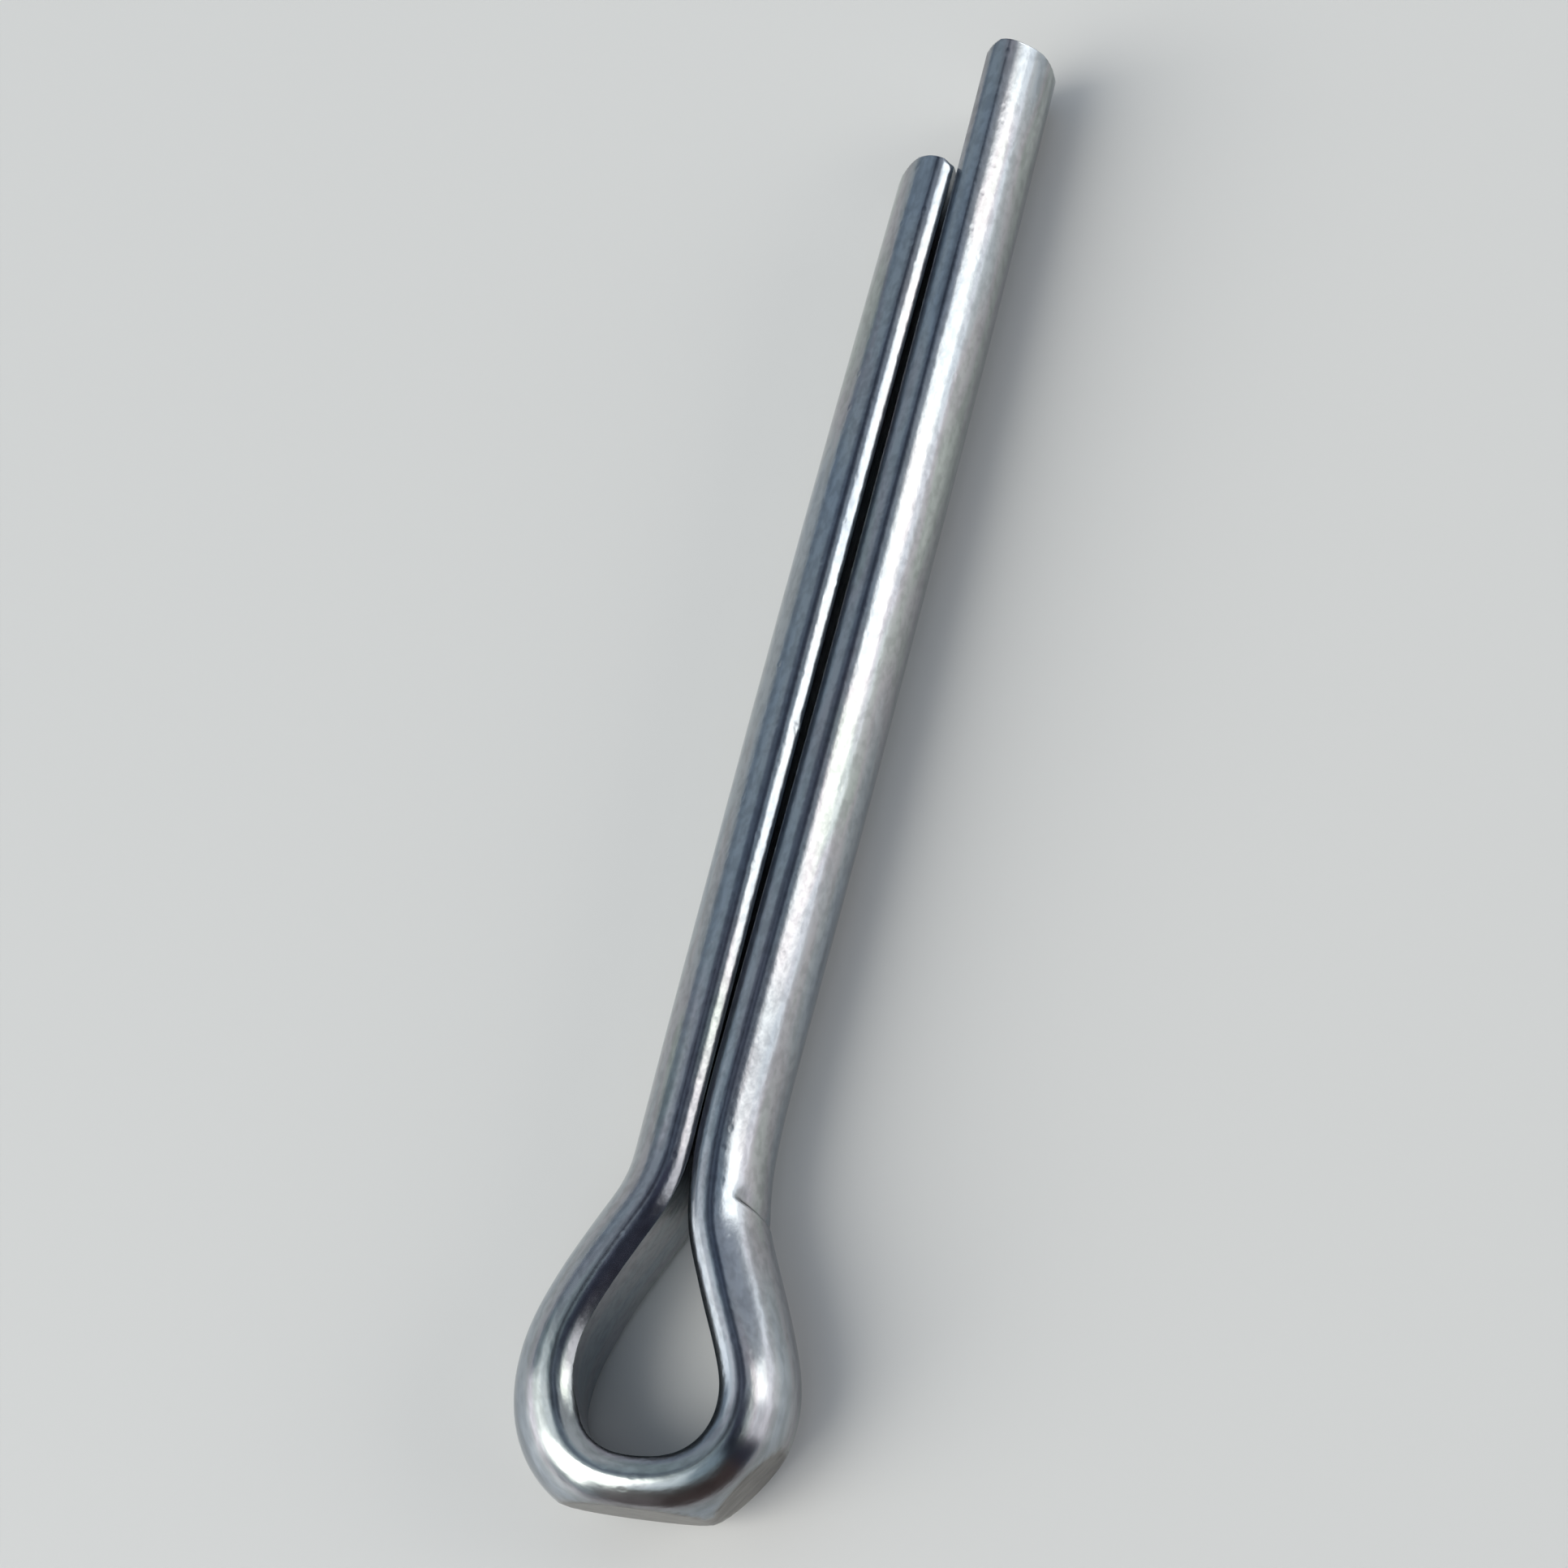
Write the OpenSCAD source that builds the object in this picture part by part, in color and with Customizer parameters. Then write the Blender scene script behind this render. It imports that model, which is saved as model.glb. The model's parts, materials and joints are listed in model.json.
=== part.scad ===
// Cotter pin: half-round steel wire bent double, with an eye at the fold and two prongs of
// unequal length, whose flat sides face each other.
// The pin lies flat: the eye is in the XY plane, the prongs point along +X, and the origin is on
// the shank's axis at the shoulder, where the short prong meets the eye.

/* [Wire] */
// Diameter of the shank, which the round sides of the two prongs make together
shank_d = 3.55; // [3.2:0.05:4.2]
// Gap between the flats of the two prongs
prong_gap = 0.2; // [0.1:0.05:0.4]
// Radius of the wire's two edges, between its flat and its round side
edge_r = 0.45; // [0.2:0.05:0.6]

/* [Prongs] */
// Length of the short prong, from the shoulder to its tip
short_prong_l = 27; // [12:1:60]
// How far the long prong reaches past the short one
prong_step = 3.8; // [1:0.1:6]
// Rounding of the tips on the round side of the wire
tip_r = 0.8; // [0.3:0.05:1.1]
// Rounding of the tips on the flat side of the wire
tip_flat_r = 0.4; // [0.1:0.05:0.6]

/* [Neck] */
// Radius of the flat in the short prong's neck bend
short_neck_r = 4.8; // [3:0.1:8]
// Turn of the short prong's neck bend, in degrees
short_neck_turn = 17; // [13:1:21]
// Radius of the flat in the long prong's neck bend
long_neck_r = 4.5; // [3:0.1:8]
// Turn of the long prong's neck bend, in degrees
long_neck_turn = 22; // [18:1:26]

/* [Eye] */
// Length of the eye's arm on the short prong's side
short_arm_l = 4.3; // [3:0.1:6]
// Inward turn of that arm over its length, in degrees
short_arm_turn = 4; // [1:1:8]
// Length of the eye's arm on the long prong's side
long_arm_l = 3.8; // [3:0.1:6]
// Outward turn of that arm over its length, in degrees
long_arm_turn = 5; // [1:1:8]
// Inner radius of the eye's corner on the short prong's side
short_corner_r = 1.4; // [1:0.05:1.8]
// Turn of that corner, in degrees
short_corner_turn = 82; // [75:1:88]
// Inner radius of the eye's corner on the long prong's side
long_corner_r = 1.5; // [1:0.05:1.9]
// Turn of that corner, in degrees
long_corner_turn = 90; // [83:1:96]

/* [Pressed flats] */
// Depth pressed off the crest at the end of the eye
crown_press = 0.42; // [0.1:0.02:0.6]
// Tilt of that flat from square to the shank, in degrees
crown_tilt = 6; // [0:1:10]
// Depth pressed off the crest of the long prong's corner, beside it
corner_press = 0.23; // [0.05:0.01:0.4]
// Tilt of that flat from square to the shank, in degrees
corner_tilt = 58; // [50:1:66]

/* [Hidden] */
$fn = 96;

// The section of the wire: a disc as wide as the shank, cut off by the flat at x = 0. Each edge is
// a small disc that touches both the flat and the big disc, at touch_x.
disc_r = shank_d / 2;
disc_x = -prong_gap / 2;
crest = disc_x + disc_r;
edge_y = sqrt(pow(disc_r - edge_r, 2) - pow(edge_r - disc_x, 2));
touch_x = disc_x + (edge_r - disc_x) * disc_r / (disc_r - edge_r);
core_x = (touch_x + disc_x + sqrt(pow(disc_r, 2) - pow(edge_y, 2))) / 2;

// Blocks that cut are larger than anything they cut.
block = 4 * (short_prong_l + prong_step);

// The bends in order along the wire, from the short prong round the eye to the long prong. A
// positive turn goes round the eye, with the flat inside, and a negative one curves away from it.
BENDS = ["short neck", "short arm", "short corner", "crown", "long corner", "long arm", "long neck"];
crown_turn = 180 + short_neck_turn + long_neck_turn
  - short_arm_turn - short_corner_turn - long_corner_turn + long_arm_turn;
turns = [-short_neck_turn, short_arm_turn, short_corner_turn, crown_turn,
  long_corner_turn, -long_arm_turn, -long_neck_turn];

// Number of a named bend
function bend_no(name) = search([name], BENDS)[0];

// Heading of the wire where bend i starts
function heading(i) = i == 0 ? 180 : heading(i - 1) + turns[i - 1];

// Radius of the flat in each bend, given that of the crown
function arc_radius(length, turn) = length * 180 / (PI * turn);
function radii(crown_r) = [short_neck_r, arc_radius(short_arm_l, short_arm_turn), short_corner_r,
  crown_r, long_corner_r, arc_radius(long_arm_l, long_arm_turn), long_neck_r];

// Step from one end of a bend to the other, for a flat of radius r
function step(i, r) = let (a = heading(i), b = heading(i + 1))
  sign(turns[i]) * r * [sin(b) - sin(a), cos(a) - cos(b)];

// Place of the flat where bend i starts, for radii r
function place(i, r) = i == 0 ? [0, prong_gap / 2] : place(i - 1, r) + step(i - 1, r[i - 1]);

// The crown's radius is the one that brings the wire back to the other side of the gap.
crown_r = (-prong_gap / 2 - place(len(BENDS), radii(0)).y) / step(bend_no("crown"), 1).y;
bend_r = radii(crown_r);

// Centre that bend i turns about
function centre(i) = place(i, bend_r)
  + sign(turns[i]) * bend_r[i] * [-sin(heading(i)), cos(heading(i))];

// Moves its children by v in a coarse and a fine step, which keeps the digits that one step in
// six figures would round off, so that neighbouring bends meet face to face.
module at(v) {
  coarse = [for (c = v) round(c * 100) / 100];
  translate(coarse) translate(v - coarse) children();
}

// Section of the wire, with its flat along x = 0 and its crest towards +X
module section() {
  intersection() {
    at([disc_x, 0]) circle(disc_r);
    at([touch_x, 0]) translate([0, -block / 2]) square(block);
  }
  translate([0, -edge_y]) square([core_x, 2 * edge_y]);
  for (side = [-1, 1])
    at([edge_r, side * edge_y]) circle(edge_r);
}

// One bend of the wire, an exact arc
module bend(i) {
  from = turns[i] > 0 ? heading(i) - 90 : heading(i + 1) + 90;
  at(centre(i))
    rotate_extrude(angle = abs(turns[i]), start = from % 360)
      at([bend_r[i], 0])
        mirror([turns[i] > 0 ? 0 : 1, 0]) section();
}

// Cuts the round side of a tip down to a rounded end. The prong's axis is +X, its tip is at x = 0.
module tip_ring() {
  at([0, disc_x]) rotate([0, 90, 0])
    rotate_extrude()
      difference() {
        translate([disc_r - tip_r, -tip_r]) square([block, block]);
        translate([disc_r - tip_r, -tip_r]) circle(tip_r);
      }
}

// Rounds the edge between the flat and the cut end of a tip
module tip_edge() {
  linear_extrude(block, center = true)
    difference() {
      translate([-tip_flat_r, tip_flat_r - block]) square([block, block]);
      translate([-tip_flat_r, tip_flat_r]) circle(tip_flat_r);
    }
}

// A straight prong, with its flat along y = 0, its crest towards +Y and its tip at x = length
module prong(length) {
  difference() {
    rotate([90, 0, 90]) linear_extrude(length) section();
    translate([length, 0]) {
      tip_ring();
      tip_edge();
    }
  }
}

// Everything beyond the flat that is pressed into the crest of bend i, square to direction a
module pressed_off(i, a, depth) {
  reach = centre(i) * [cos(a), sin(a)] + bend_r[i] + crest - depth;
  rotate(a) at([reach, 0, 0]) translate([0, -block / 2, -block / 2]) cube(block);
}

module cotter_pin() {
  color("#a9b0b5")
    difference() {
      union() {
        at(place(0, bend_r)) prong(short_prong_l);
        for (i = [0 : len(BENDS) - 1])
          bend(i);
        at(place(len(BENDS), bend_r)) mirror([0, 1])
          prong(short_prong_l + prong_step - place(len(BENDS), bend_r).x);
      }
      pressed_off(bend_no("crown"), 180 + crown_tilt, crown_press);
      pressed_off(bend_no("long corner"), 180 + corner_tilt, corner_press);
    }
}

cotter_pin();
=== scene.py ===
# %% [markdown]
# # A cotter pin in zinc-plated steel
# A cotter pin is one length of half-round wire, bent double so that its flat sides meet. The CAD
# part holds its real size, and this script dresses it. We make the wire as a straight bar, bend
# it along the same line as a bending machine would, press its flats, and give it a zinc finish.

# %% Load the frame
import bisect
import json
import math

import bmesh
import bpy
from mathutils import Matrix, Vector, noise


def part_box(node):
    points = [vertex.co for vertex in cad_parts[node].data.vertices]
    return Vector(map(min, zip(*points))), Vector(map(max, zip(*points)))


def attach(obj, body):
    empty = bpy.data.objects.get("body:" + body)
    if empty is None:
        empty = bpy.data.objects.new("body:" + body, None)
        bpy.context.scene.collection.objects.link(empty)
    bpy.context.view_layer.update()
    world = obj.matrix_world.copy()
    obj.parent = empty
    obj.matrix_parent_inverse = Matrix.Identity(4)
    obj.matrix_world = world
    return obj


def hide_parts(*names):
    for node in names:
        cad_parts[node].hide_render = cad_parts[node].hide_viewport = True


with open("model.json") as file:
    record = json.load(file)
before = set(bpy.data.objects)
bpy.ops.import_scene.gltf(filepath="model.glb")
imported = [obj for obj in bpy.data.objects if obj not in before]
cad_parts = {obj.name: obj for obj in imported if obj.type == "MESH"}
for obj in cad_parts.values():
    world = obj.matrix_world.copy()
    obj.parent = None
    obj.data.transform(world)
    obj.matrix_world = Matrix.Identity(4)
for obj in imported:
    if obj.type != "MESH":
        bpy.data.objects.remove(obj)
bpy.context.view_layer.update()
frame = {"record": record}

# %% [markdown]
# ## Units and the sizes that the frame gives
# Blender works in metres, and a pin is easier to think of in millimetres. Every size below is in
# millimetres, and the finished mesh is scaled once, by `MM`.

MM = 0.001
box_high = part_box("cotter_pin")[1] / MM
shank_r = frame["record"]["mounts"][0]["dims"]["r_mm"]
long_tip_x = box_high.x - 0.03
print(f"shank radius {shank_r} mm, long tip at x = {long_tip_x:.2f} mm")

# %% [markdown]
# ## The camera
# It looks down on the pin from the eye's end and a little from the long prong's side, close
# enough for the tips to look smaller than the eye. A place, a point to look at and a roll say
# this plainly, and they are easier to change than a rotation matrix.

# %% Make the camera
CAMERA_PLACE = Vector((-13.81, -21.67, 72.08))
CAMERA_TARGET = Vector((9.645, 0.482, 0.0))
CAMERA_ROLL = -30.93
CAMERA_LENS = 72.43


def make_camera():
    """A camera with no shift and no depth of field, aimed at CAMERA_TARGET."""
    data = bpy.data.cameras.new("camera")
    data.lens = CAMERA_LENS
    data.clip_start = 0.001
    camera = bpy.data.objects.new("camera", data)
    bpy.context.scene.collection.objects.link(camera)
    aim = (CAMERA_TARGET - CAMERA_PLACE).to_track_quat("-Z", "Y").to_matrix().to_4x4()
    roll = Matrix.Rotation(math.radians(CAMERA_ROLL), 4, "Z")
    camera.matrix_world = Matrix.Translation(CAMERA_PLACE * MM) @ aim @ roll
    bpy.context.scene.camera = camera
    return camera


camera = make_camera()
print("camera at", tuple(round(x, 4) for x in camera.location))

# %% [markdown]
# ## The straight wire
# The section is a D: a round side, two edges that are bevelled and rounded, and a flat. One
# vertex is spun about the centre of one arc after another, each starting in the direction in
# which the last one ended, so the arcs meet smoothly, and the flat closes the outline. The face
# is then extruded into a bar: x runs along the wire, y rises from the flat to the crest, and z
# runs across. Rings of edges 0.1 mm apart let the bar bend and hold fine dents.

# %% Trace the section
# Radius and turn of each arc, from the crest of the round side to the flat
ARCS = [(shank_r - 0.02, 60), (0.5, 62), (1.3, 14), (0.06, 44)]
SPACING = 0.1
# Degrees that one step of an arc may turn, however small the arc is
TURN_STEP = 12


def running_total(first, steps):
    """The first value, and then the total after each step."""
    totals = [first]
    for step in steps:
        totals.append(totals[-1] + step)
    return totals


def sine(degrees):
    return math.sin(math.radians(degrees))


def cosine(degrees):
    return math.cos(math.radians(degrees))


turned = running_total(0, [turn for _, turn in ARCS])
half_flat = sum(r * (sine(b) - sine(a)) for (r, _), a, b in zip(ARCS, turned, turned[1:]))
crest = sum(r * (cosine(a) - cosine(b)) for (r, _), a, b in zip(ARCS, turned, turned[1:]))


def trace_section(bm):
    """The wire's section at x = 0, as one face."""
    start = last = bmesh.ops.create_vert(bm, co=(0, 0, -half_flat))["vert"]
    facing = 180
    for radius, turn in ARCS[::-1] + ARCS:
        outward = radius * Vector((0, cosine(facing), sine(facing)))
        made = bmesh.ops.spin(
            bm,
            geom=last,
            cent=last[0].co - outward,
            axis=(1, 0, 0),
            angle=math.radians(turn),
            steps=max(math.ceil(radius * math.radians(turn) / SPACING), round(turn / TURN_STEP)),
            use_merge=False,
        )
        last = [v for v in made["geom_last"] if isinstance(v, bmesh.types.BMVert)]
        facing += turn
    flat = bmesh.ops.contextual_create(bm, geom=start + last)["edges"]
    bmesh.ops.subdivide_edges(bm, edges=flat, cuts=round(2 * half_flat / SPACING))
    return bmesh.ops.contextual_create(bm, geom=bm.edges[:])["faces"][0]


print(f"wire {crest:.2f} mm thick, with a flat {2 * half_flat:.2f} mm wide")

# %% [markdown]
# ## The line of the wire
# Each row is a stretch of wire in the order in which it is bent, from the short tip round the eye
# to the long prong: its length, how far it turns, and how far the wire has twisted about itself
# at its end, in degrees. A negative turn opens the eye and a positive one closes it.

# %% List the bends
SHORT_TIP = Vector((27.0, 0.02))
SHORT_LEAN = -0.7
BENDS = [
    (27.4, 1.5, 2.6),
    (0.85, -11.9, 0),
    (0.8, -12.1, 0),
    (1.65, 2.1, 0),
    (1.5, 8.6, 0),
    (1.15, 21.1, 6),
    (0.55, 18.9, 12),
    (0.5, 23.1, 6),
    (0.95, 36.5, 0),
    (1.3, 21.1, 0),
    (1.35, 56.7, 0),
    (1.25, 39.0, 2),
    (1.5, 4.8, 5),
    (1.45, -0.6, 4),
    (1.0, -14.3, 3),
    (1.85, -10.7, 1),
    (1.9, -3.8, 0),
    (30.8, 1.4, 0),
]
STIFFNESS = 0.35
STEP = 0.02


def clamped(share):
    """The share, held between 0 and 1."""
    return min(max(share, 0), 1)


def blend_of(stations, values, x):
    """Straight-line blend of values given at stations, held level beyond both ends."""
    i = min(max(bisect.bisect(stations, x), 1), len(stations) - 1)
    share = (x - stations[i - 1]) / (stations[i] - stations[i - 1])
    return values[i - 1] + clamped(share) * (values[i] - values[i - 1])


stations = running_total(0, [length for length, _, _ in BENDS])
headings = running_total(180 + SHORT_LEAN, [turn for _, turn, _ in BENDS])
twists = [BENDS[0][2]] + [twist for _, _, twist in BENDS]


def smoothed(values, x):
    """A stiff wire can't change its bend at once, so this is the mean of the values over
    STIFFNESS to each side of x."""
    reach = [STIFFNESS * k / 4 for k in range(-4, 5)]
    return sum(blend_of(stations, values, x + r) for r in reach) / len(reach)


def heading_at(x):
    """Heading at x along the wire, in radians."""
    return math.radians(smoothed(headings, x))


def draw_line():
    """The place of the wire's flat every STEP along it, until the long tip is reached."""
    line = [SHORT_TIP.copy()]
    while line[-1].x < long_tip_x or len(line) * STEP < stations[-2]:
        a = heading_at((len(line) - 0.5) * STEP)
        line.append(line[-1] + STEP * Vector((math.cos(a), math.sin(a))))
    return line


line = draw_line()
wire_length = (len(line) - 1) * STEP
print(f"wire of {wire_length:.1f} mm; the flats are {line[0].y - line[-1].y:.2f} mm apart")

# %% [markdown]
# ## The bar
# The tips get closer rings than the rest, because their rounding is only a few tenths of a
# millimetre, and so does the place of a sharp crease at the eye's neck. The place in the straight
# bar is kept with every vertex as the attribute `wire`: the draw marks follow the wire round its
# bends, and the finish can read them from it.

# %% Extrude the bar
TIP_STRETCH = 1.2
TIP_SPACING = 0.05
CREASE_AT = 43.1
CREASE_STRETCH = 1.4
CREASE_SPACING = 0.035


def extrude_bar(bm, end, length, spacing):
    """Lengthens the bar from its end face, cuts the new stretch into rings, and returns the
    new end face."""
    made = bmesh.ops.extrude_face_region(bm, geom=[end])["geom"]
    verts = [v for v in made if isinstance(v, bmesh.types.BMVert)]
    bmesh.ops.translate(bm, verts=verts, vec=(length, 0, 0))
    new = set(verts)
    long_edges = [e for v in verts for e in v.link_edges if e.other_vert(v) not in new]
    bmesh.ops.subdivide_edges(bm, edges=long_edges, cuts=round(length / spacing) - 1)
    return next(f for f in made if isinstance(f, bmesh.types.BMFace))


def make_bar():
    """The straight wire, with its place in the bar kept as an attribute."""
    to_crease = CREASE_AT - CREASE_STRETCH / 2 - TIP_STRETCH
    stretches = [
        (to_crease, SPACING),
        (CREASE_STRETCH, CREASE_SPACING),
        (wire_length - to_crease - CREASE_STRETCH - 2 * TIP_STRETCH, SPACING),
        (TIP_STRETCH, TIP_SPACING),
    ]
    bm = bmesh.new()
    end = extrude_bar(bm, trace_section(bm), TIP_STRETCH, TIP_SPACING)
    for length, spacing in stretches:
        inside = end
        end = extrude_bar(bm, inside, length, spacing)
        bmesh.ops.delete(bm, geom=[inside], context="FACES_ONLY")
    layer = bm.verts.layers.float_vector.new("wire")
    for v in bm.verts:
        v[layer] = v.co
    return bm, layer


bar, wire_layer = make_bar()
pressed_layer = bar.verts.layers.float.new("pressed")
# Mask for the painted shade at the bottom of the crease
fold_layer = bar.verts.layers.float.new("fold")
open_edges = sum(not e.is_manifold for e in bar.edges)
print(f"bar of {len(bar.verts)} vertices, {open_edges} open edges")

# %% [markdown]
# ## The tips
# A cropping tool shears the wire along a rounded line as seen from above: it starts further back
# on one side of the wire than on the other. The top and bottom edges are only broken a little.
# Near a tip, every ring is cut off at both sides along the arc of a squarish circle. The rings
# are first drawn together towards the very end, where the shape is steepest.

# %% Round the tips
# For the short and the long tip: depth and squareness of the rounding at the flat, the same at
# the crest, and how far the end leans back at the flat. A squareness of 2 gives a round arc.
TIPS = [((0.15, 2.4), (0.6, 1.5), 0.0), ((0.5, 2.0), (0.25, 2.4), 0.15)]
# Depth of the broken top and bottom edges
TIP_EDGE = 0.08
# Height above the flat at which both roundings meet
MIDDLE = 0.75


def share_left(from_tip, depth, squareness):
    """How much of its width a ring keeps, in a rounding of this depth."""
    lack = max(1 - from_tip / depth, 0)
    return (1 - lack**squareness) ** (1 / squareness)


def round_tips(bm):
    """Cuts the rings near both tips down to a rounded end."""
    for v in bm.verts:
        first = v.co.x < wire_length / 2
        at_flat, at_crest, lean = TIPS[0 if first else 1]
        from_tip = v.co.x if first else wire_length - v.co.x
        if from_tip >= TIP_STRETCH:
            continue
        leant = lean * (1 - from_tip / TIP_STRETCH) * (1 - v.co.y / crest)
        from_tip *= from_tip / TIP_STRETCH
        v.co.x = from_tip + leant if first else wire_length - from_tip - leant
        low = MIDDLE * (1 - share_left(from_tip, *at_flat))
        high = MIDDLE + (crest - MIDDLE) * share_left(from_tip, *at_crest)
        v.co.y = min(max(v.co.y, low), high)
        v.co.z *= share_left(from_tip, TIP_EDGE, 2)


round_tips(bar)
along = [v.co.x for v in bar.verts]
print(f"with its tips rounded, the bar runs from x = {min(along):.2f} to {max(along):.2f} mm")

# %% [markdown]
# ## Bending
# `Simple Deform` bends a mesh by one angle only, and a spin for each stretch would lose the place
# along the wire. So each vertex is carried from the straight bar to the bent line: x picks the
# place and the heading, y goes outwards from the flat, and z stays up.

# %% Bend the bar
# Height above the flat of the line that the wire twists about
TWIST_CENTRE = 0.8


def bend(bm):
    """Carries the bar's vertices to the bent line of the wire."""
    for v in bm.verts:
        place = min(max(v.co.x, 0), wire_length) / STEP
        i = min(int(place), len(line) - 2)
        on_line = line[i].lerp(line[i + 1], place - i)
        a = heading_at(v.co.x)
        twist = math.radians(smoothed(twists, v.co.x))
        y, z = v.co.y - TWIST_CENTRE, v.co.z
        out = TWIST_CENTRE + y * math.cos(twist) - z * math.sin(twist)
        up = y * math.sin(twist) + z * math.cos(twist)
        v.co = (on_line.x + out * math.sin(a), on_line.y - out * math.cos(a), up)
    bmesh.ops.recalc_face_normals(bm, faces=bm.faces[:])


bend(bar)
print(f"volume {bar.calc_volume(signed=True):.1f} cubic mm")

# %% [markdown]
# ## The pressed flats
# The eye is closed against a stop, which leaves a flat across its end and a smaller one on the
# long prong's side. What lies beyond a plane is pushed back to it, and how far it was pressed is
# kept for the finish.

# %% Press the flats
# Direction that each flat faces, in degrees, and its distance from the origin
PRESSED = [(186.2, 8.59), (238.0, 6.59)]
# Rounding of a flat's rim, and how far inside the plane it is still felt
PRESS_BLEND = 0.04
RIM_REACH = 1


def press(bm):
    """Pushes what lies beyond each plane back onto it, with a slightly rounded rim."""
    for angle, reach in PRESSED:
        facing = Vector((math.cos(math.radians(angle)), math.sin(math.radians(angle)), 0))
        for v in bm.verts:
            beyond = v.co.dot(facing) - reach
            if beyond > -RIM_REACH:
                push = (beyond + math.sqrt(beyond**2 + PRESS_BLEND**2)) / 2
                v.co -= facing * push
                v[pressed_layer] = max(v[pressed_layer], min(push / PRESS_BLEND, 1))


press(bar)
scuffed = sum(v[pressed_layer] > 0.5 for v in bar.verts)
print(f"{scuffed} vertices lie on the pressed flats")

# %% [markdown]
# ## Waves, a crease and dents
# Drawn and bent wire is never quite round. Shallow waves a few millimetres long bend its
# reflections. At the long prong's neck the bending die has folded the steel into a sharp crease,
# steep on the eye's side and gentle on the other, and a few spots are dented. All of it is real
# shape, so it is moved into the mesh along its normals. The noise is read in the straight bar,
# and is longer along the wire. It runs from -1 to 1, and SINK lowers it so far that the waves only
# take steel away, which keeps the pin inside the CAD part's box.

# %% Shape the surface
# Height of each set of waves, and the length of one wave along, out of and across the wire
WAVES = [(0.009, (7.0, 2.4, 2.4)), (0.002, (1.1, 0.7, 0.7))]
SINK = 2
# The crease: its depth, how far its steep and its gentle side reach, how far it lies before
# CREASE_AT, its slant, and the height above the flat at which it starts
CREASE_DEPTH = 0.1
STEEP_SIDE = 0.05
GENTLE_SIDE = 0.3
CREASE_BEFORE = 0.25
CREASE_SLANT = 0.5
CREASE_FROM = 0.6
# Where it ends across the wire, and the length over which it fades, at its top and at its foot
CREASE_TOP = (1.25, 0.3)
CREASE_FOOT = (-1.3, 0.6)
# Place of each dent in the straight bar, its radius and its depth. A depth below 0 is a bulge.
DENTS = [
    ((16.3, 0.1, 1.4), 0.13, 0.03),
    ((0.2, 0.05, 1.35), 0.3, 0.12),
    ((44.0, 1.1, 1.28), 0.6, -0.012),
    ((38.8, 1.1, 1.3), 0.4, -0.008),
]


def noise_in(place, lengths):
    """Smooth noise from -1 to 1 with the given length of a wave each way."""
    scaled = Vector(p / length for p, length in zip(place, lengths))
    return noise.noise(scaled, noise_basis="PERLIN_NEW")


def crease_at(place, reach):
    """Share of the crease at a place. It runs aslant over the round side, fades out at both
    ends, and has the given reach on the shank's side."""
    past = place.x - (CREASE_AT - CREASE_BEFORE + CREASE_SLANT * place.z)
    slope = math.exp(-((past / (reach if past > 0 else STEEP_SIDE)) ** 2))
    (top, top_fade), (foot, foot_fade) = CREASE_TOP, CREASE_FOOT
    fade = clamped((top - place.z) / top_fade) * clamped((place.z - foot) / foot_fade)
    return slope * fade if place.y > CREASE_FROM else 0


def dents_at(place):
    """Depth of the dents at a place, each with a smooth rim."""
    total = 0
    for middle, radius, depth in DENTS:
        near = 1 - (place - Vector(middle)).length_squared / radius**2
        if near > 0:
            total += depth * near**2
    return total


def shape_surface(bm):
    """Moves each vertex along its normal, and keeps the crease's bottom as a mask for painted shade.
    """
    bm.normal_update()
    moves = []
    for v in bm.verts:
        place = v[wire_layer]
        wave = sum(height * (noise_in(place, lengths) - SINK) for height, lengths in WAVES)
        crease = CREASE_DEPTH * crease_at(place, GENTLE_SIDE)
        moves.append(v.normal * (wave - crease - dents_at(place)))
        # The crease's bottom, kept as a mask for painted shade
        v[fold_layer] = crease_at(place, STEEP_SIDE)
    for v, move in zip(bm.verts, moves):
        v.co += move


shape_surface(bar)
print(f"volume {bar.calc_volume(signed=True):.1f} cubic mm with waves, crease and dents")

# %% [markdown]
# ## From bmesh to an object
# The mesh is scaled to metres, its faces are shaded smooth, and the object stays at the origin,
# unturned and unscaled, as the frame's own node is.

# %% Make the pin
def make_pin(bm):
    """The finished wire as an object."""
    bmesh.ops.scale(bm, verts=bm.verts[:], vec=(MM, MM, MM))
    for face in bm.faces:
        face.smooth = True
    mesh = bpy.data.meshes.new("zinc_plated_pin")
    bm.to_mesh(mesh)
    bm.free()
    pin = bpy.data.objects.new("zinc_plated_pin", mesh)
    bpy.context.scene.collection.objects.link(pin)
    return pin


pin = make_pin(bar)
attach(pin, "root")
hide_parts("cotter_pin")
print(f"{pin.name}: {sum(len(p.vertices) - 2 for p in pin.data.polygons)} triangles")

# %% [markdown]
# ## Two helpers for materials
# Colours are written as the hex values that a colour picker shows, and Blender wants linear
# ones. One small function adds any node, with its settings and its links.

# %% Helpers for nodes
def linear(hex_colour):
    """An sRGB hex colour as linear red, green, blue and alpha."""
    channels = [int(hex_colour[i : i + 2], 16) / 255 for i in (1, 3, 5)]
    return (*[c / 12.92 if c <= 0.04045 else ((c + 0.055) / 1.055) ** 2.4 for c in channels], 1)


def add(tree, kind, inputs=None, **settings):
    """Adds a node. An input is a value, or a socket to link from."""
    node = tree.nodes.new(kind)
    for name, value in settings.items():
        setattr(node, name, value)
    for name, value in (inputs or {}).items():
        if isinstance(value, bpy.types.NodeSocket):
            tree.links.new(value, node.inputs[name])
        else:
            node.inputs[name].default_value = value
    return node


print(f"#808080 is {linear('#808080')[0]:.3f} in linear light")

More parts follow.
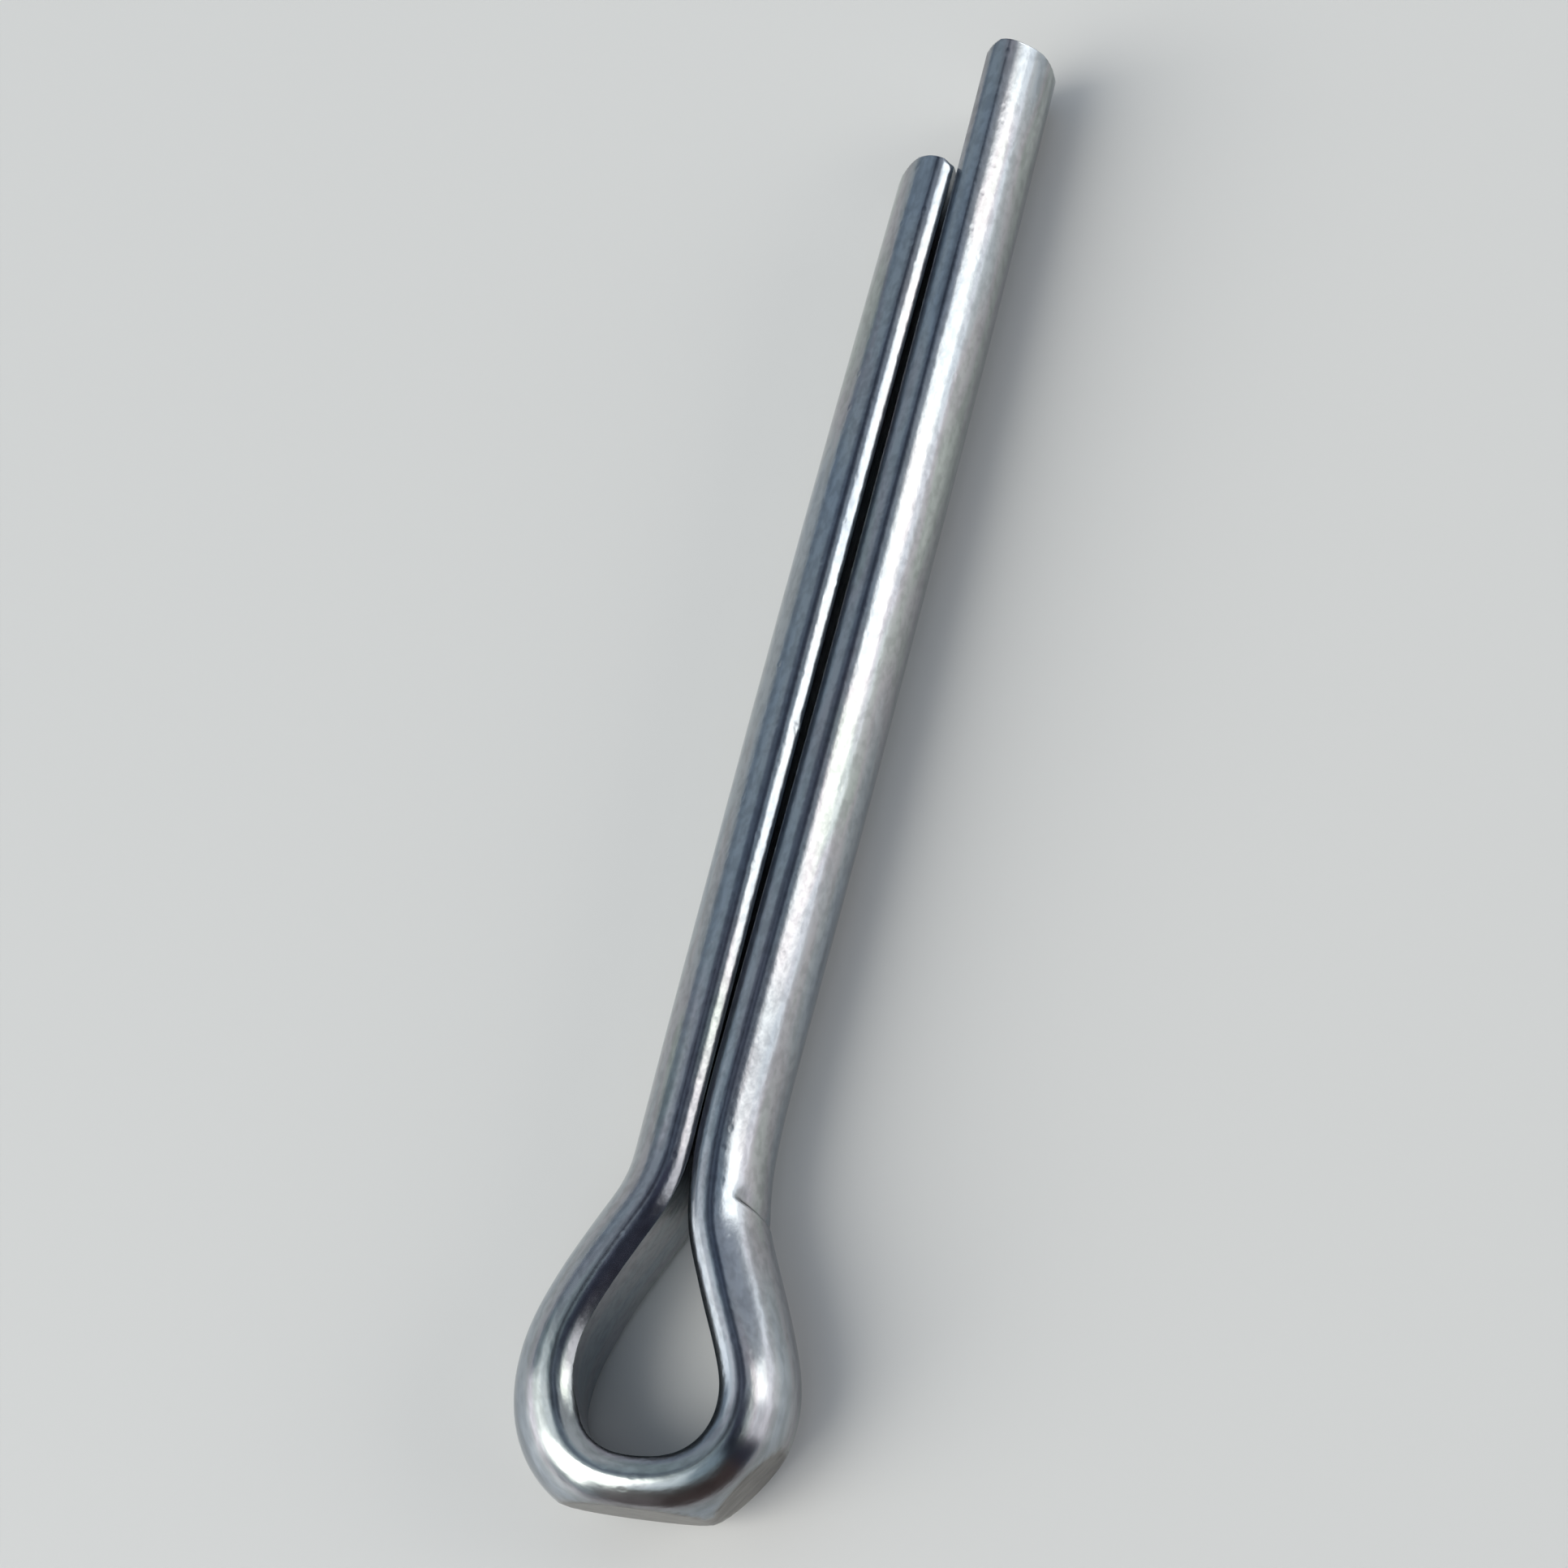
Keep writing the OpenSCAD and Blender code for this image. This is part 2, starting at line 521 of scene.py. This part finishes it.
# %% [markdown]
# ## Bright zinc plating on drawn wire
# Zinc plating is a thin, slightly bluish metal skin over the draw marks of the steel. It is fully
# metallic and fairly smooth, so it shows the room in soft bands. Three things keep it from
# looking like chrome: draw marks along the wire, a fine grain with small pits that breaks up the
# bands, and faint tints of blue, pink and green that the passivation leaves. All of them are
# read from the attribute `wire`, in millimetres of the straight bar, so that they follow the
# bends.

# %% Draw marks, grain and pits
# Waves in a millimetre along, out of and across the wire. Draw marks are about 0.17 mm apart and a
# few millimetres long. Grain is soft dimples about 0.2 mm across, a little longer along the wire.
MARKS = (0.22, 6.0, 6.0)
GRAIN = (3.2, 4.8, 4.8)
MARK_SHARE = 0.12
PIT_SHARE = 0.5
# Cells that may each hold a pit, in one wave of grain
PIT_CELLS = 0.55
# Height of the bumps, in metres, and how strongly they turn the light
BUMP_HEIGHT = 0.00002
BUMP_STRENGTH = 0.2


def streaks(tree, wire, per_mm, detail):
    """Noise stretched along the wire, and the places that it is read at."""
    places = add(
        tree, "ShaderNodeVectorMath", {0: wire, 1: per_mm}, operation="MULTIPLY"
    ).outputs[0]
    noise_node = add(
        tree, "ShaderNodeTexNoise", {"Vector": places, "Scale": 1.0, "Detail": detail}
    )
    return noise_node.outputs["Fac"], places


def add_bumps(tree, wire, grain, grain_places):
    """The skin's normal, with draw marks, grain, and a scatter of pits about 0.1 mm across."""
    marks, _ = streaks(tree, wire, MARKS, 3.0)
    cells = add(tree, "ShaderNodeTexVoronoi", {"Vector": grain_places, "Scale": PIT_CELLS})
    pit_range = {"From Min": 0.05, "From Max": 0.24, "To Min": -1.0, "To Max": 0.0}
    pits = add(
        tree,
        "ShaderNodeMapRange",
        {"Value": cells.outputs["Distance"], **pit_range},
        interpolation_type="SMOOTHSTEP",
    ).outputs[0]
    with_marks = add(
        tree, "ShaderNodeMath", {0: marks, 1: MARK_SHARE, 2: grain}, operation="MULTIPLY_ADD"
    ).outputs[0]
    height = add(
        tree, "ShaderNodeMath", {0: pits, 1: PIT_SHARE, 2: with_marks}, operation="MULTIPLY_ADD"
    ).outputs[0]
    bump_inputs = {"Strength": BUMP_STRENGTH, "Distance": BUMP_HEIGHT, "Height": height}
    return add(tree, "ShaderNodeBump", bump_inputs).outputs[0]


# %% [markdown]
# ## The colour of the skin
# The tints are stretches about 7 mm long and 1 mm across. The grain is a little darker in its
# hollows. Where the eye was pressed, the plating is scuffed and duller, and its colour is darker,
# warmer and less blue: partly scuffed plating, partly painted shade. The bottom of the crease is
# painted dark, as painted shade.

# %% Colour
TINTS = (0.14, 1.0, 1.0)
TINT_COLOURS = ((0.34, "#9EA7B0"), (0.46, "#A6ACB0"), (0.56, "#AAA9AD"), (0.66, "#A5ACA9"))
# Colour and darkening of the pressed flats: partly scuffed plating, partly painted shade
SCUFFED_AND_SHADED_COLOUR = "#9A9793"
SCUFF_AND_PAINTED_SHADE = -0.42
# How far the crease's bottom is darkened, a painted shade
CREASE_PAINTED_SHADE = -0.7


def add_colour(tree, wire, grain, pressed):
    """The skin's colour."""
    tint, _ = streaks(tree, wire, TINTS, 2.0)
    ramp = add(tree, "ShaderNodeValToRGB", {"Fac": tint})
    for place, colour in TINT_COLOURS:
        ramp.color_ramp.elements.new(place).color = linear(colour)
    shade_range = {"From Min": 0.36, "From Max": 0.58, "To Min": 0.84, "To Max": 1.03}
    shade = add(tree, "ShaderNodeMapRange", {"Value": grain, **shade_range}).outputs[0]
    # The bottom of the crease is darkened as painted shade
    fold = add(tree, "ShaderNodeAttribute", attribute_name="fold").outputs["Fac"]
    # The pressed flats are darkened partly as scuffed plating, partly as painted shade
    for mark, darker in ((pressed, SCUFF_AND_PAINTED_SHADE), (fold, CREASE_PAINTED_SHADE)):
        shade = add(
            tree, "ShaderNodeMath", {0: mark, 1: darker, 2: shade}, operation="MULTIPLY_ADD"
        ).outputs[0]
    # Pressed flats take a warmer, less blue colour: partly scuffed plating, partly painted shade
    zinc = add(
        tree,
        "ShaderNodeMix",
        {"Factor": pressed, "A": ramp.outputs["Color"], "B": linear(SCUFFED_AND_SHADED_COLOUR)},
        data_type="RGBA",
    ).outputs[2]
    return add(
        tree, "ShaderNodeVectorMath", {0: zinc, "Scale": shade}, operation="SCALE"
    ).outputs[0]


# %% [markdown]
# ## How rough it is
# Bending stretches the skin of the eye and roughens it a little, and pressing roughens it more.

# %% Roughness
# The eye's middle along the wire, and how far from it the roughness starts and stops falling
EYE_MIDDLE = 36.5
EYE_REACH = (6.6, 8.6)
EYE_ROUGHNESS = 0.19
PRONG_ROUGHNESS = 0.17
PRESSED_ROUGHER = 0.16


def add_roughness(tree, wire, pressed):
    """The skin's roughness."""
    along = add(tree, "ShaderNodeSeparateXYZ", {0: wire}).outputs["X"]
    past = add(tree, "ShaderNodeMath", {0: along, 1: EYE_MIDDLE}, operation="SUBTRACT").outputs[0]
    distance = add(tree, "ShaderNodeMath", {0: past}, operation="ABSOLUTE").outputs[0]
    fall = {"From Min": EYE_REACH[0], "From Max": EYE_REACH[1]}
    ends = {"To Min": EYE_ROUGHNESS, "To Max": PRONG_ROUGHNESS}
    bent = add(tree, "ShaderNodeMapRange", {"Value": distance, **fall, **ends}).outputs[0]
    return add(
        tree,
        "ShaderNodeMath",
        {0: pressed, 1: PRESSED_ROUGHER, 2: bent},
        operation="MULTIPLY_ADD",
    ).outputs[0]


# %% Zinc-plated steel
def zinc_plated_steel():
    """Bright zinc over drawn steel wire."""
    material = bpy.data.materials.new("zinc_plated_steel")
    material.use_nodes = True
    tree = material.node_tree
    tree.nodes.clear()
    wire = add(tree, "ShaderNodeAttribute", attribute_name="wire").outputs["Vector"]
    pressed = add(tree, "ShaderNodeAttribute", attribute_name="pressed").outputs["Fac"]
    grain, grain_places = streaks(tree, wire, GRAIN, 2.0)
    shader = add(
        tree,
        "ShaderNodeBsdfPrincipled",
        {
            "Base Color": add_colour(tree, wire, grain, pressed),
            "Metallic": 1.0,
            "Roughness": add_roughness(tree, wire, pressed),
            "Normal": add_bumps(tree, wire, grain, grain_places),
        },
    )
    add(tree, "ShaderNodeOutputMaterial", {"Surface": shader.outputs[0]})
    print(f"{material.name}: {len(tree.nodes)} nodes")
    return material


pin.data.materials.append(zinc_plated_steel())

# %% [markdown]
# ## The studio
# Bright metal shows the room more than itself. The pin lies on a plain pale floor, and the room
# around it is drawn in the world, so that it lights the whole floor evenly and has no hard ends
# in the metal. A window on the long prong's side and a larger one behind the eye give the light
# bands. The dim bluish parts overhead and the doorway give the dark ones.

# %% The floor
FLOOR_SIZE = 6000.0
FLOOR_COLOUR = "#D4D4D0"
FLOOR_ROUGHNESS = 0.38


def make_floor():
    """A plain pale floor that the pin lies on."""
    bm = bmesh.new()
    bmesh.ops.create_grid(bm, x_segments=1, y_segments=1, size=FLOOR_SIZE * MM / 2)
    bmesh.ops.translate(bm, verts=bm.verts[:], vec=(0, 0, min(v.co.z for v in pin.data.vertices)))
    mesh = bpy.data.meshes.new("floor")
    bm.to_mesh(mesh)
    bm.free()
    floor = bpy.data.objects.new("floor", mesh)
    bpy.context.scene.collection.objects.link(floor)
    material = bpy.data.materials.new("pale_floor")
    material.use_nodes = True
    tree = material.node_tree
    tree.nodes.clear()
    finish = {"Base Color": linear(FLOOR_COLOUR), "Roughness": FLOOR_ROUGHNESS}
    paint = add(tree, "ShaderNodeBsdfPrincipled", finish)
    add(tree, "ShaderNodeOutputMaterial", {"Surface": paint.outputs[0]})
    floor.data.materials.append(material)
    return floor


floor = make_floor()
print(f"floor at z = {floor.data.vertices[0].co.z / MM:.2f} mm")

# %% The room
WALLS = "#A3B0BC"
# Each patch of the room, in degrees: direction of its middle, its width, the heights of its foot
# and its head, and how softly it ends; then its colour and its strength. A later patch covers an
# earlier one, and a head of 120 takes in all that is above the foot.
PATCHES = [
    ("skirting on the left", 70, 80, -10, 12, 5, "#8A98A7", 1.0),
    ("wall on the right", -18, 76, -8, 54, 8, "#BBBEC7", 1.0),
    ("overhead", 0, 140, 62, 120, 6, "#6B7688", 1.0),
    ("dark panel overhead", 10, 150, 80, 120, 3, "#353B4C", 1.0),
    ("end of the dark panel", 45, 90, 75, 120, 3, "#353B4C", 1.0),
    ("lamp frame", -34, 56, 56, 72, 5, "#414859", 1.0),
    ("overhead on the right", -95, 50, 42, 80, 7, "#454B60", 1.0),
    ("doorway on the right", -113, 34, 2, 64, 5, "#262B3D", 1.0),
    ("ceiling behind", -154, 62, 40, 86, 8, "#A2B3C5", 1.0),
    ("shelf behind", -157, 76, -4, 34, 7, "#4E4240", 1.0),
    ("wall behind", 170, 24, 0, 26, 8, "#7B7276", 1.0),
    ("pale ceiling behind", 178, 40, 36, 72, 8, "#EEF4FF", 1.4),
    ("blind on the left", 95, 30, 20, 62, 6, "#EAF1FA", 1.1),
    ("low part of the left window", 108, 24, -8, 30, 6, "#F6F7FA", 1.9),
    ("left window", 129, 34, 14, 70, 6, "#FFFDFA", 5.6),
    ("far pane of the left window", 152, 22, 30, 66, 6, "#FFFDFA", 4.0),
    ("right curtain", -83, 28, -6, 36, 5, "#F2F2F6", 1.4),
    ("right window", -65, 20, 11, 37, 4, "#FFFCF8", 3.3),
    ("right sill", -62, 36, -6, 11, 4, "#F2F4F8", 1.9),
]


def add_patch(tree, direction, below, middle, width, foot, head, soft, colour, strength):
    """Lays one patch over the room's colour `below`, and returns the new colour."""
    flat = add(
        tree, "ShaderNodeVectorMath", {0: direction, 1: (1, 1, 0)}, operation="MULTIPLY"
    )
    unit = add(tree, "ShaderNodeVectorMath", {0: flat.outputs[0]}, operation="NORMALIZE")
    facing = add(
        tree,
        "ShaderNodeVectorMath",
        {0: unit.outputs[0], 1: (cosine(middle), sine(middle), 0)},
        operation="DOT_PRODUCT",
    )
    rise = add(tree, "ShaderNodeSeparateXYZ", {0: direction}).outputs["Z"]
    radians = add(tree, "ShaderNodeMath", {0: rise}, operation="ARCSINE").outputs[0]
    height = add(tree, "ShaderNodeMath", {0: radians}, operation="DEGREES").outputs[0]
    share = None
    for value, low, high in (
        (facing.outputs["Value"], cosine(width / 2 + soft), cosine(width / 2 - soft)),
        (height, foot - soft, foot + soft),
        (height, head + soft, head - soft),
    ):
        step = add(
            tree,
            "ShaderNodeMapRange",
            {"Value": value, "From Min": low, "From Max": high},
            interpolation_type="SMOOTHSTEP",
        ).outputs[0]
        if share is None:
            share = step
        else:
            share = add(tree, "ShaderNodeMath", {0: share, 1: step}, operation="MULTIPLY").outputs[0]
    light = [c * strength for c in linear(colour)[:3]] + [1]
    return add(
        tree, "ShaderNodeMix", {"Factor": share, "A": below, "B": light}, data_type="RGBA"
    ).outputs[2]


def make_room():
    """The world: plain walls, and the patches over them."""
    world = bpy.data.worlds.new("room")
    bpy.context.scene.world = world
    world.use_nodes = True
    tree = world.node_tree
    tree.nodes.clear()
    direction = add(tree, "ShaderNodeTexCoord").outputs["Generated"]
    colour = linear(WALLS)
    for _, *patch in PATCHES:
        colour = add_patch(tree, direction, colour, *patch)
    back = add(tree, "ShaderNodeBackground", {"Color": colour, "Strength": 1.0})
    add(tree, "ShaderNodeOutputWorld", {"Surface": back.outputs[0]})
    print(f"room with {len(PATCHES)} patches")


make_room()
bpy.context.scene.view_settings.view_transform = "Standard"
